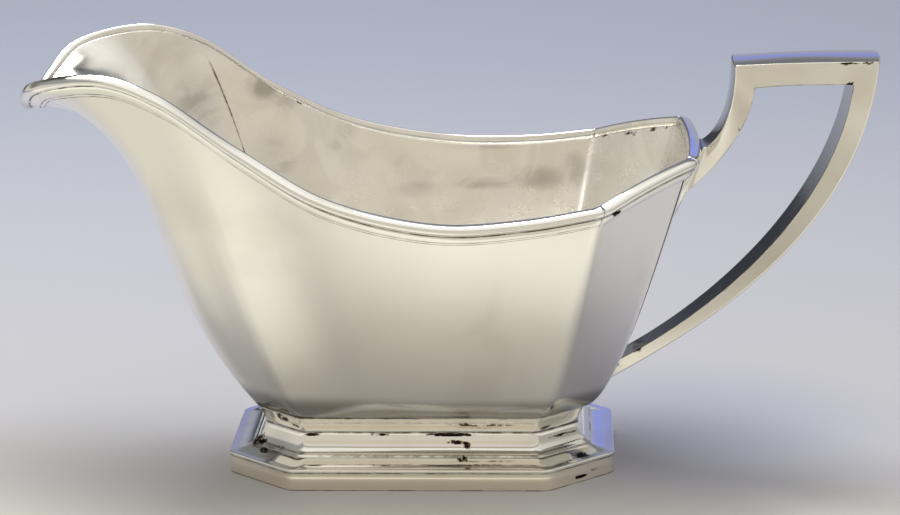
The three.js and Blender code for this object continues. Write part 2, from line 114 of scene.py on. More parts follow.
# Handle, in the plane of symmetry
HANDLE_TOP_FRONT = (73.2, 80.3)
HANDLE_TOP_REAR = (106.0, 81.1)
HANDLE_BAR_DEPTH = 5.3
HANDLE_LEG_DEPTH = 4.5
HANDLE_SWEEP_DEPTH = 5.8
HANDLE_HALF_WIDTHS = (4.8, 6.8, 7.3, 4.0)
HANDLE_CROWNS = (0.1, 0.8, 1.0, 0.5)
CROWN_FULLNESS = 0.8
LEG_OUTER_PULLS = ((2.6, 1.0), (0.2, -14.2))
LEG_INNER_PULLS = ((4.4, 3.2), (-0.5, -11.2))
BAR_OUTER_PULLS = ((10.8, 0.5), (-10.8, 0))
BAR_INNER_PULLS = ((8.6, 0.8), (-8.6, 0))
SWEEP_OUTER_PULLS = ((-3.0, -43.6), (19.1, 11.1))
SWEEP_INNER_PULLS = ((-3.7, -33.2), (18.4, 9.2))
LEG_SEAT_TOP = 60.2
LEG_SEAT_BOTTOM = 49.3
SWEEP_SEAT_TOP = 7.8
SWEEP_SEAT_BOTTOM = 2.2

# Backing plate
PLATE_TOP = 57.7
PLATE_BOTTOM = 41.0
PLATE_HALF_WIDTH = 6.6
PLATE_THICK_TOP = 2.2
PLATE_THICK_BOTTOM = 0.8
PLATE_TIP_SHARE = 0.12

# Finer than the solids: how far a soft corner reaches, and the spacing of the meshes
CREASE_REACH = 1.3
SUPPORT = 0.7
SUPPORT_ROOM = 1.8
SUPPORT_AT = 1.7
BEND_POINTS = 5
PANEL_STEP = 1.0
CORNER_CUTS = 8
STRAP_CORNER_CUTS = 5
WALL_LEVELS = 72
WALL_SPACING = 1.3
BOTTOM_RINGS = (0.93, 0.8, 0.62, 0.42, 0.22, 0.07)
BOTTOM_DOME = 0.25
WALL_TABLE_POINTS = 401
END_WALL_POINTS = 201
BEAD_POINTS = 12
COLLAR_POINTS = 12
COVE_POINTS = 14
FLANGE_POINTS = 12
BAND_POINTS = 13
PLATE_ROWS = 41
LEG_STEPS = 30
BAR_STEPS = 34
SWEEP_STEPS = 100
CROWN_POINTS = 17
CROWN_SPAN = 0.9
STRAP_SIDE_POINTS = 6
STRAP_SUPPORT = 0.5
STRAP_SUPPORT_SPACING = 2.2

# Joints and small forms
SEAM_GAP = 0.3
TOP_GAP = 0.05
HAIRLINE = 0.03
WIRE_PROUD = 0.03
SEAT_OVERLAP = 0.35
BAND_CROWN = 0.16
BAND_SHOULDER = 0.8
PLATE_CROWN = 0.12
STRAP_INNER_RADIUS = 0.25
STRAP_OUTER_RADIUS = 0.35
STRAP_FLARE = 0.55
STRAP_FLARE_REACH = 0.7
STRAP_EDGE = 0.3
BAND_LAP = 0.02
BAND_CHAMFER = 0.2
BAND_EDGE_RADIUS = 0.1
BAND_INNER_RADIUS = 0.2
PLATE_RADIUS = 0.3
FLANGE_RADII = (0.35, 0.08)
# Edge radii of the rim wire, from the quirk down
RIM_RADII = (0.06, 0.3, 0.22, 0.08, 0.2)
# The underside of the flange is level from this far past the cove
UNDERSIDE_LEVEL = 2

# Unevenness of the handwork: height, wavelength and seed
OUTER_UNEVEN = (0.030, 34, 11)
INNER_UNEVEN = (0.055, 22, 5)
FOOT_UNEVEN = (0.03, 16, 3)
STRAP_UNEVEN = (0.02 / 1.7, 20, 8)
# Waves added up, and how far their lengths spread
WAVES = 7
WAVE_SPREAD = (0.7, 1.8)
# On the bowl it rises from the foot and falls to the rim, over 1/8 and 1/12 of the wall
UNEVEN_RISE = 8
UNEVEN_FALL = 12
# On the foot it starts above the flange's edge, and is full this much higher
FOOT_UNEVEN_START = 0.2
FOOT_UNEVEN_RISE = 2

# The wall turns under towards the foot below this height; there its colour is darkened as painted shade,
# with a grey mottle, and it is rougher
TURN_HEIGHT = 5.4
TURN_PAINTED_SHADE = 0.72
TURN_SOFT = 0.5
TURN_SHARPNESS = 6
# The handle has painted shade, darkening it outside on its leg, and inside on its sweep, most at the
# lower end
LEG_PAINTED_SHADE = 0.6
SWEEP_PAINTED_SHADE = 0.62
SWEEP_PAINTED_SHADE_GAIN = 0.25

# Grime in the joints: strength and reach, which is a share of the wall or the plate, or in mm
WALL_FOOT_GRIME = (1, 0.012)
WALL_TOP_GRIME = (0.9, 0.006)
QUIRK_GRIME = (1, 0.22)
FOOT_GRIME = (0.9, 0.3)
BAND_SEAM_GRIME = (1, 0.15)
BAND_EDGE_GRIME = (0.8, 0.25)
PLATE_SEAM_GRIME = (1, 0.4)
PLATE_TIP_GRIME = (0.6, 0.06)
STRAP_END_GRIME = (0.9, 0.8)
# Its strength along the lining's crease and the strap's inner edges
CREASE_GRIME = 0.9
STRAP_EDGE_GRIME = 0.5

# Stains: middle (x, y, z) from the foot's middle on the table, reach along x, y and z, and strength
STAINS = {
    "bowl": [
        ((44.6, 36.2, 69.8), (1.2, 1.6, 0.7), 1.1),
        ((50.2, 30.4, 71.6), (3.4, 3.0, 0.5), 0.9),
        ((55.2, 26.1, 73.6), (0.9, 1.2, 0.6), 1.1),
        ((58.1, 24.0, 74.6), (0.9, 1.2, 0.8), 1.1),
        ((25.7, 41.2, 67.9), (1.4, 1.6, 0.5), 1.0),
        ((32.5, 40.0, 68.2), (1.4, 1.6, 0.5), 1.0),
        ((12.0, 43.0, 67.2), (6.5, 3.0, 0.4), 1.2),
        ((-6.2, 43.0, 69.4), (3.0, 3.0, 0.5), 1.0),
        ((-31.9, 37.8, 79.4), (1.2, 2.5, 1.6), 1.2),
    ],
    "wires": [
        ((45.2, -38.1, 69.0), (0.9, 1.0, 0.8), 1.4),
    ],
    "foot": [
        ((7.2, -20.2, 10.8), (5.4, 0.6, 0.26), 2.4),
        ((-25.2, -20.2, 10.9), (1.7, 0.6, 0.35), 1.8),
        ((-9.0, -20.2, 10.9), (2.6, 0.6, 0.25), 1.2),
        ((8.4, -20.9, 9.2), (2.2, 1.0, 0.55), 1.05),
        ((11.2, -20.9, 8.5), (0.9, 1.0, 0.9), 1.2),
        ((10.1, -23.6, 6.0), (0.7, 1.4, 0.9), 1.8),
        ((38.2, -18.9, 5.5), (1.8, 1.8, 0.8), 1.4),
        ((-38.6, -12.8, 7.0), (2.6, 3.2, 1.2), 1.1),
        ((-37.1, -17.1, 5.8), (1.1, 1.1, 0.6), 1.4),
        ((14.0, -25.6, 5.5), (9.5, 0.5, 0.3), 0.6),
        ((14.5, -20.9, 13.4), (10.5, 1.0, 0.6), 0.6),
        ((19.0, -21.1, 9.2), (5.0, 0.6, 0.4), 0.55),
        ((-33.5, -19.2, 7.4), (2.2, 2.2, 1.0), 0.7),
        ((34.0, -15.5, 9.4), (5.0, 5.0, 0.4), 0.9),
    ],
    "band": [
        ((37.4, -22.3, 1.4), (1.8, 1.8, 0.4), 2.0),
        ((40.5, -19.5, 2.2), (1.0, 1.2, 0.3), 1.2),
    ],
    "handle": [
        ((99.4, -7.0, 91.4), (0.7, 1.2, 0.9), 1.6),
        ((99.0, -7.2, 96.2), (2.0, 1.0, 0.28), 1.3),
        ((103.4, -7.2, 96.3), (1.2, 1.0, 0.3), 1.2),
        ((74.2, -5.6, 80.5), (0.5, 1.2, 0.9), 1.0),
        ((94.9, -6.6, 62.2), (0.5, 1.2, 0.7), 1.4),
        ((46.8, -4.4, 22.4), (0.5, 1.2, 0.5), 1.2),
        ((50.0, 0.0, 27.4), (3.6, 7.0, 1.6), 1.4),
    ],
}

# Painted dark reflections in the bowl's lining: grey clouds, in the same way
LINING_PAINTED_SHADE_CLOUDS = [
    ((-40.5, 34.9, 82.8), (4.6, 5.0, 3.2), 1.0),
    ((-35.4, 35.6, 79.0), (3.0, 5.0, 2.6), 0.55),
    ((-20.5, 39.7, 71.2), (3.0, 5.0, 3.0), 0.6),
    ((-16.0, 41.0, 72.6), (4.0, 5.0, 1.5), 0.6),
    ((-24.0, 38.5, 67.0), (2.6, 5.0, 2.2), 0.45),
    ((-8.0, 40.5, 63.5), (3.0, 5.0, 3.4), 0.3),
    ((-3.0, 38.9, 55.5), (8.0, 5.0, 2.2), 0.55),
    ((12.8, 39.6, 56.8), (10.0, 5.0, 1.7), 0.7),
    ((28.0, 38.5, 58.5), (8.0, 5.0, 3.4), 0.7),
    ((36.5, 37.0, 61.0), (3.5, 5.0, 5.5), 0.6),
    ((14.0, 42.5, 66.0), (10.0, 5.0, 1.4), 0.5),
    ((-56.4, 28.7, 80.0), (7.0, 9.0, 7.5), 0.7),
    ((-38.0, 31.0, 66.0), (6.0, 7.0, 6.0), 0.6),
    ((8.0, 38.5, 59.5), (6.0, 5.0, 3.0), 0.45),
]

# Painted shade, in the same way: dark spots in the lining and on the wire at the spout's tip, and on the
# foot's ends
PAINTED_SHADE_ZONES = {
    "bowl": [((-84.2, 19.2, 92.2), (3.4, 6.0, 3.6), 1.0)],
    "foot": [
        ((-36.0, -19.0, 8.6), (5.5, 5.5, 3.0), 0.32),
        ((37.5, -17.5, 8.6), (6.0, 6.0, 3.2), 0.34),
    ],
    "wires": [((-90.5, -9.0, 89.0), (3.5, 15.0, 5.0), 0.9)],
}

# The lining near the spout's tip is still bright, in the same way
BRIGHT_ZONES = [((-84.5, 18.0, 92.0), (8.0, 12.0, 7.0), 0.9)]

# The frame gives the foot's middle, which is the middle of the bowl's walls too
foot_low, foot_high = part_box("foot")
MIDDLE_X = (foot_low.x + foot_high.x) / 2 / MM


# Curves

def lerp(a, b, t):
    return a + (b - a) * t


def bezier(points, t):
    """Points of a Bezier curve at the shares t."""
    t = np.atleast_1d(np.asarray(t, float))[:, None]
    layer = [np.asarray(p, float)[None, :] for p in points]
    while len(layer) > 1:
        layer = [a * (1 - t) + b * t for a, b in zip(layer, layer[1:])]
    return layer[0]


def smooth_curve(points, t):
    """Point at share t of a centripetal Catmull-Rom curve."""
    last = len(points) - 1
    i = min(int(last * t), last - 1)
    u = last * t - i
    p0 = points[i - 1] if i > 0 else 2 * points[0] - points[1]
    p1 = points[i]
    p2 = points[i + 1]
    p3 = points[i + 2] if i + 2 <= last else 2 * points[last] - points[last - 1]
    d0, d1, d2 = (math.sqrt(np.linalg.norm(b - a)) for a, b in ((p0, p1), (p1, p2), (p2, p3)))
    t1 = ((p1 - p0) / d0 - (p2 - p0) / (d0 + d1) + (p2 - p1) / d1) * d1
    t2 = ((p2 - p1) / d1 - (p3 - p1) / (d1 + d2) + (p3 - p2) / d2) * d1
    return ((2 * u**3 - 3 * u**2 + 1) * p1 + (u**3 - 2 * u**2 + u) * t1
            + (3 * u**2 - 2 * u**3) * p2 + (u**3 - u**2) * t2)


def unit(v):
    return v / np.maximum(np.linalg.norm(v, axis=-1, keepdims=True), 1e-9)


def wobble(points, wavelength, seed):
    """A smooth uneven field of about -1 to 1, the same on every run."""
    dice = np.random.default_rng(seed)
    total = np.zeros(points.shape[:-1])
    for _ in range(WAVES):
        direction = unit(dice.normal(size=3))
        length = wavelength * dice.uniform(*WAVE_SPREAD)
        total += np.sin(points @ direction * (2 * math.pi / length) + dice.uniform(0, 2 * math.pi))
    return total / (WAVES / 2)


def uneven(points, kind):
    """Small heights at the points, of one of the kinds of unevenness."""
    height, wavelength, seed = kind
    return height * wobble(points, wavelength, seed)


def spots(points, zones):
    """Soft round weights of the zones in a list, at points measured from the foot's middle."""
    total = np.zeros(points.shape[:-1])
    for middle, reach, strength in zones:
        away = np.sum(((points - middle) / reach)**2, axis=-1)
        total = np.maximum(total, strength * np.exp(-1.2 * away**1.5))
    return total


def fading(grime, away):
    """Weight that fades away from an edge."""
    strength, reach = grime
    return strength * np.exp(-away / reach)


def bell(grime, away):
    """Weight of a soft band along a line."""
    strength, reach = grime
    return strength * np.exp(-(away / reach)**2)


# Octagon and its stations

def octagon(offset):
    """Corners of the waist octagon moved outwards, from the front end round the right side."""
    length = WAIST_HALF_LENGTH + offset
    width = WAIST_HALF_WIDTH + offset
    nx, ny = unit(np.array([WAIST_CANT_WIDTH, WAIST_CANT_LENGTH]))
    reach = nx * (WAIST_HALF_LENGTH - WAIST_CANT_LENGTH) + ny * WAIST_HALF_WIDTH + offset
    end_y = (reach - nx * length) / ny
    side_x = (reach - ny * width) / nx
    return np.array([
        (-length, -end_y), (-side_x, -width), (side_x, -width), (length, -end_y),
        (length, end_y), (side_x, width), (-side_x, width), (-length, end_y),
    ])


def places(length, start_corner=True, end_corner=True):
    """Shares along a panel: one beside each corner, a support next to it, even between."""
    reach = CREASE_REACH + SUPPORT
    first = reach if start_corner else 0
    last = length - reach if end_corner else length
    even = np.linspace(first, last, max(3, round((last - first) / PANEL_STEP) + 1))
    head = [0, CREASE_REACH] if start_corner else []
    tail = [length - CREASE_REACH, length] if end_corner else []
    return np.concatenate([head, even, tail]) / length


def octagon_ring(offset):
    """Stations round an octagon, with the indices of its corners."""
    corners = octagon(offset)
    waist = octagon(0)
    ring = []
    marks = []
    for i in range(8):
        a, b = corners[i], corners[(i + 1) % 8]
        length = np.linalg.norm(waist[(i + 1) % 8] - waist[i])
        marks.append(len(ring))
        ring.extend(a + (b - a) * t for t in places(length)[:-1])
    return np.array(ring), marks


def round_corners(grid, marks, cuts=CORNER_CUTS):
    """Replaces each marked station of a closed grid by a bend between its neighbours.
    Returns the new grid and the index of the middle of every bend."""
    shares = np.linspace(0, 1, cuts + 1)[1:-1]
    rows = []
    apexes = []
    count = len(grid)
    for i in range(count):
        if i not in marks:
            rows.append(grid[i])
            continue
        before, here, after = grid[i - 1], grid[i], grid[(i + 1) % count]
        apexes.append(len(rows) + len(shares) // 2)
        rows.extend(before * (1 - u)**2 + here * 2 * u * (1 - u) + after * u**2 for u in shares)
    return np.array(rows), apexes


# Stations of the walls

def rim_point(p):
    return np.array([p[0], -p[1], p[2]], float)


def right_stations():
    """Foot, crest and spout share at each station, from the spout's middle to the end's, and the corners'
    indices.
    """
    front_corner, side_front, side_rear, rear_corner = octagon(COLLAR_OVERHANG)[:4]
    crest_points = [SPOUT_TIP, SPOUT_BEAK, SPOUT_LIP, SPOUT_SHOULDER, SPOUT_THROAT,
                    SIDE_RISE, SIDE_FRONT, SIDE_LOW, SIDE_REAR, SIDE_CORNER]
    crest = [np.array(SPOUT_BEAK, float)] + [rim_point(p) for p in crest_points]

    def place_of(point):
        return (1 + crest_points.index(point)) / len(crest_points)

    tip, beak, throat = (place_of(p) for p in (SPOUT_TIP, SPOUT_BEAK, SPOUT_THROAT))
    side_corner = rim_point(SIDE_CORNER)
    end_corner = rim_point(END_CORNER)

    def cant_crest(t):
        return lerp(side_corner, end_corner, t) + np.array([0, 0, CANT_ARCH * 4 * t * (1 - t)])

    def end_crest(t):
        bow = 1 - (1 - t)**2
        return np.array([END_CORNER[0] + END_BOW * bow, -END_CORNER[1] * (1 - t),
                         END_CORNER[2] + END_ARCH * bow])

    panels = [
        (np.array([front_corner[0], 0]), front_corner, False, True,
         lambda t: smooth_curve(crest, lerp(tip, beak, t)), lambda t: 1),
        (front_corner, side_front, True, True,
         lambda t: smooth_curve(crest, lerp(beak, throat, t)),
         lambda t: lerp(CREASE_SHARE, 1, (1 - t)**TIP_FADE)),
        (side_front, side_rear, True, True,
         lambda t: smooth_curve(crest, lerp(throat, 1, t)),
         lambda t: CREASE_SHARE * (1 - t)**SIDE_FADE),
        (side_rear, rear_corner, True, True, cant_crest, lambda t: 0),
        (rear_corner, np.array([rear_corner[0], 0]), True, False, end_crest, lambda t: 0),
    ]
    rows = []
    marks = []
    for foot_from, foot_to, starts, ends, crest_at, share_at in panels:
        shares = places(np.linalg.norm(foot_to - foot_from), starts, ends)
        if rows:
            marks.append(len(rows) - 1)
            shares = shares[1:]
        for t in shares:
            foot = lerp(foot_from, foot_to, t)
            rows.append((*foot, 0, *crest_at(t), share_at(t)))
    return np.array(rows, float), marks


class Walls:
    """All stations round the bowl, with the wall's points, depths and normals at them."""

    def __init__(self):
        right, marks = right_stations()
        flip = np.array([1, -1, 1, 1, -1, 1, 1])
        left = right[1:-1][::-1] * flip
        rows = np.vstack([right, left])
        count = len(rows)
        self.foot = rows[:, 0:3]
        self.crest = rows[:, 3:6]
        self.share = rows[:, 6]
        self.marks = sorted(marks + [count - m for m in marks])
        self.from_tip = np.linalg.norm(self.crest - rim_point(SPOUT_TIP), axis=1) / TIP_TAPER
        self.table = np.linspace(1, 0, WALL_TABLE_POINTS)
        path = np.array([self.point(np.full(count, t)) for t in self.table])
        steps = np.linalg.norm(np.diff(path, axis=0), axis=2)
        self.run = np.vstack([np.zeros(count), np.cumsum(steps, axis=0)])

    def point(self, t):
        wall = bezier(WALL_CURVE, t)
        spout = bezier(SPOUT_CURVE, t)
        reach, rise = (wall * (1 - self.share)[:, None] + spout * self.share[:, None]).T
        flat = self.foot[:, :2] + (self.crest[:, :2] - self.foot[:, :2]) * reach[:, None]
        return np.column_stack([flat, self.crest[:, 2] * rise])

    def below(self, depth):
        """The share t that lies a depth below the crest, at every station."""
        depth = np.broadcast_to(depth, len(self.foot))
        return np.array([np.interp(d, self.run[:, i], self.table) for i, d in enumerate(depth)])

    def normal(self, t):
        """Outward normals, lengthened at corners so that offsets meet in a mitre."""
        nudge = 0.004
        here = self.point(t)
        rise = self.point(np.minimum(t + nudge, 1)) - self.point(np.maximum(t - nudge, 0))
        first = unit(np.cross(here - np.roll(here, 1, axis=0), rise))
        second = unit(np.cross(np.roll(here, -1, axis=0) - here, rise))
        mean = unit(first + second)
        cosine = np.sum(mean * first, axis=1, keepdims=True)
        return mean / np.maximum(cosine, MITRE_LIMIT)


# Meshes

def rounded(corners, radii):
    """A closed outline with each corner rounded at its radius, and supports beside the bends."""
    corners = np.array(corners, float)
    outline = []
    for i, radius in enumerate(radii):
        here = corners[i]
        if radius == 0:
            outline.append(here)
            continue
        before = here - corners[i - 1]
        after = corners[(i + 1) % len(corners)] - here
        room_before, room_after = np.linalg.norm(before), np.linalg.norm(after)
        start = here - before * min(radius / room_before, 0.5)
        end = here + after * min(radius / room_after, 0.5)
        if room_before > SUPPORT_ROOM * radius:
            outline.append(here - before * (SUPPORT_AT * radius / room_before))
        outline.extend(bezier([start, here, end], np.linspace(0, 1, BEND_POINTS)))
        if room_after > SUPPORT_ROOM * radius:
            outline.append(here + after * (SUPPORT_AT * radius / room_after))
    return np.array(outline)


def add_piece(name, vertices, faces, flat_faces, base_z, weights, material):
    """A mesh object in place, with faces turned outwards and its weights as attributes."""
    vertices = (np.asarray(vertices) + np.array([MIDDLE_X, 0, base_z])) * MM
    mesh = bpy.data.meshes.new(name)
    mesh.from_pydata(vertices.tolist(), [], faces)
    fans = [(face[0], b, c) for face in faces for b, c in zip(face[1:], face[2:])]
    first, second, third = vertices[np.array(fans)].transpose(1, 0, 2)
    if np.sum(first * np.cross(second, third)) < 0:
        mesh.flip_normals()
    smooth = np.ones(len(mesh.polygons), bool)
    if flat_faces:
        smooth[list(flat_faces)] = False
    mesh.polygons.foreach_set("use_smooth", smooth)
    for label, values in weights.items():
        layer = mesh.attributes.new(label, "FLOAT", "POINT")
        layer.data.foreach_set("value", np.asarray(values, float))
    mesh.materials.append(material)
    mesh.validate()
    mesh.update()
    piece = bpy.data.objects.new(name, mesh)
    bpy.context.scene.collection.objects.link(piece)
    return piece


def loft(name, grid, weights, material, base_z=0, closed=False, place=None, sharp=()):
    """A closed body from rows of equal rings: looped along the rows, or capped at both ends.
    Its strips in sharp, given as (row, column) with None for all, meet the others at an edge."""
    rows, size = grid.shape[:2]
    faces = []
    flat = []
    for i in range(rows if closed else rows - 1):
        lower, upper = i * size, (i + 1) % rows * size
        for j in range(size):
            k = (j + 1) % size
            faces.append((lower + j, lower + k, upper + k, upper + j))
            if (i, None) in sharp or (None, j) in sharp:
                flat.append(len(faces) - 1)
    if not closed:
        flat += [len(faces), len(faces) + 1]
        faces.append(tuple(range(size - 1, -1, -1)))
        faces.append(tuple(range((rows - 1) * size, rows * size)))
    places_above = grid + np.array([0, 0, base_z])
    # Painted shade at the piece's zones, and its stains
    weights = {"painted_shade": spots(places_above, PAINTED_SHADE_ZONES.get(place, [])),
               "mark": spots(places_above, STAINS.get(place, [])), **weights}
    layers = {label: np.broadcast_to(values, grid.shape[:2]).reshape(-1)
              for label, values in weights.items()}
    return add_piece(name, grid.reshape(-1, 3), faces, flat, base_z, layers, material)


# Materials

# What lies on the silver, and how much of its colour is left where it is dull
GRIME = (0.10, 0.065, 0.035, 1)
STAIN_EDGE = (0.16, 0.11, 0.065, 1)
STAIN_MIDDLE = (0.012, 0.009, 0.007, 1)
DARK_SPOT = (0.16, 0.10, 0.06, 1)
# What lies on the silver, and how much of its colour is left under the painted shade
LINING_GREY_AND_PAINTED_SHADE = (0.50, 0.48, 0.44, 1)
PAINTED_SHADE_SHARE = 0.16
LINING_ROUGHNESS = 0.17
GRIME_ROUGHNESS = 0.35
# Two directions of hairlines: turn, scale and strength
HAIRLINES = ((0.5, (900, 60, 900), 0.03), (-0.9, (60, 900, 700), 0.03))
HAIRLINE_RELIEF = 0.00004
# Patterns in the silver: scale, detail, roughness and distortion
WEAR_CLOUDS = (38, 3.5, 0.55, 0.6)
LINING_MOTTLE = (60, 3.0, 0.5, 1.6)
GRIME_BREAKS = (260, 4.0, 0.62)
RAGGED_EDGES = (900, 3.0, 0.6)
SPOT_CHOICE = (45, 1.0)
POLISH_DRIFT = (90, 4.0, 0.6)
SPOT_CELLS = 110


def shader(name):
    material = bpy.data.materials.new(name)
    material.use_nodes = True
    tree = material.node_tree
    return material, tree, tree.nodes["Principled BSDF"]


def add(tree, kind, inputs=None, **settings):
    """A node with its settings, and its inputs given as numbers or as sockets to link."""
    made = tree.nodes.new("ShaderNode" + kind)
    for key, value in settings.items():
        setattr(made, key, value)
    for key, value in (inputs or {}).items():
        if isinstance(value, bpy.types.NodeSocket):
            tree.links.new(value, made.inputs[key])
        else:
            made.inputs[key].default_value = value
    return made.outputs


def mixed(tree, share, low, high):
    """Colour low to high by share."""
    made = tree.nodes.new("ShaderNodeMix")
    made.data_type = "RGBA"
    for socket, value in zip((made.inputs[0], made.inputs[6], made.inputs[7]), (share, low, high)):
        if isinstance(value, bpy.types.NodeSocket):
            tree.links.new(value, socket)
        else:
            socket.default_value = value
    return made.outputs[2]


def ranged(tree, value, low, high, to_low=0.0, to_high=1.0):
    return add(tree, "MapRange", {"Value": value, "From Min": low, "From Max": high,
                                  "To Min": to_low, "To Max": to_high},
               interpolation_type="SMOOTHSTEP")["Result"]


def noise(tree, place, scale, detail=3.0, roughness=0.5, distortion=0.0):
    return add(tree, "TexNoise", {"Vector": place, "Scale": scale, "Detail": detail,
                                  "Roughness": roughness, "Distortion": distortion})["Fac"]


def math_node(tree, operation, a, b):
    return add(tree, "Math", {0: a, 1: b}, operation=operation)["Value"]


def attribute(tree, label):
    return add(tree, "Attribute", attribute_name=label)["Fac"]


def silver(name, tint, worn_tint, rough=(0.07, 0.14), lined=False):
    """Polished silver plate: soft clouds of wear, painted shade, hairline scratches, grime in the joints.
    """
    material, tree, bsdf = shader(name)
    place = add(tree, "TexCoord")["Object"]
    clouds = noise(tree, place, *WEAR_CLOUDS)
    cloud_share = ranged(tree, clouds, 0.5, 0.72, 0, 0.5)
    base = mixed(tree, cloud_share, (*tint, 1), (*worn_tint, 1))
    if lined:
        # The lining is softer, with a grey mottle, and with grey clouds of painted dark reflection
        soft = attribute(tree, "soft")
        painted_clouds = attribute(tree, "painted_cloud")
        mottle = ranged(tree, noise(tree, place, *LINING_MOTTLE), 0.36, 0.64)
        own = math_node(tree, "MULTIPLY", painted_clouds, ranged(tree, mottle, 0.0, 1.0, 0.45, 1.2))
        drawn = math_node(tree, "MULTIPLY", soft, math_node(tree, "MULTIPLY", mottle, 0.20))
        mottle_and_painted_shade = math_node(tree, "MAXIMUM", own, drawn)
        base = mixed(tree, mottle_and_painted_shade, base, LINING_GREY_AND_PAINTED_SHADE)
    # Painted shade darkens the colour towards a small share of the tint
    painted_shade = attribute(tree, "painted_shade")
    base = mixed(tree, painted_shade, base, (*(PAINTED_SHADE_SHARE * channel for channel in tint), 1))
    # Grime lies where the pieces meet, broken up so that it is never an even line
    seam = attribute(tree, "grime")
    patches = noise(tree, place, *GRIME_BREAKS)
    broken = ranged(tree, patches, 0.34, 0.66, 0.5, 1.0)
    grime = math_node(tree, "MULTIPLY", seam, broken)
    grime = ranged(tree, grime, 0.12, 0.85)
    stained = mixed(tree, grime, base, GRIME)
    # Single stains have ragged edges, and are brown at the edge and black in the middle
    mark = attribute(tree, "mark")
    ragged = noise(tree, place, *RAGGED_EDGES)
    mark = math_node(tree, "MULTIPLY", mark, ranged(tree, ragged, 0.34, 0.62, 0.35, 1.1))
    stained = mixed(tree, ranged(tree, mark, 0.22, 0.5, 0, 0.85), stained, STAIN_EDGE)
    stained = mixed(tree, ranged(tree, mark, 0.45, 0.65), stained, STAIN_MIDDLE)
    # A few small dark spots
    cells = add(tree, "TexVoronoi", {"Vector": place, "Scale": SPOT_CELLS, "Randomness": 1.0})["Distance"]
    chosen = noise(tree, place, *SPOT_CHOICE)
    spot = math_node(tree, "MULTIPLY", ranged(tree, cells, 0.10, 0.03), ranged(tree, chosen, 0.68, 0.74))
    coloured = mixed(tree, spot, stained, DARK_SPOT)
    tree.links.new(coloured, bsdf.inputs["Base Color"])
    bsdf.inputs["Metallic"].default_value = 1.0
    # Worn polish: roughness drifts, and is higher in the grime and on the lining
    drift = noise(tree, place, *POLISH_DRIFT)
    polish = ranged(tree, drift, 0.3, 0.75, rough[0], rough[1])
    polish = math_node(tree, "ADD", polish, math_node(tree, "MULTIPLY", grime, GRIME_ROUGHNESS))
    if lined:
        polish = math_node(tree, "ADD", polish, math_node(tree, "MULTIPLY", soft, LINING_ROUGHNESS))
    tree.links.new(polish, bsdf.inputs["Roughness"])
    # Hairline scratches in two directions
    bump = None
    for turn, scale, strength in HAIRLINES:
        turned = add(tree, "Mapping", {"Vector": place, "Rotation": (0.2, 0.1, turn),
                                       "Scale": scale})["Vector"]
        hairs = noise(tree, turned, 1.0, 2.0, 0.5)
        inputs = {"Height": hairs, "Strength": strength, "Distance": HAIRLINE_RELIEF}
        if bump:
            inputs["Normal"] = bump
        bump = add(tree, "Bump", inputs)["Normal"]
    tree.links.new(bump, bsdf.inputs["Normal"])
    return material


bowl_silver = silver("bowl_silver_look", (0.94, 0.92, 0.87), (0.78, 0.75, 0.69), lined=True)
wire_silver = silver("wire_silver_look", (0.94, 0.925, 0.885), (0.80, 0.77, 0.70), rough=(0.05, 0.10),
                     lined=True)
band_silver = silver("band_silver_look", (0.95, 0.88, 0.75), (0.82, 0.74, 0.61), rough=(0.07, 0.12))
foot_silver = silver("foot_silver_look", (0.90, 0.88, 0.83), (0.74, 0.70, 0.63), rough=(0.05, 0.12))
# The handle's cast silver is a darker copy of the silver, as painted shade for the darker floor it
# mirrors
cast_silver = silver("cast_silver_shaded_look", (0.83, 0.80, 0.74), (0.73, 0.69, 0.62), rough=(0.06, 0.13))


# Pieces

walls = Walls()


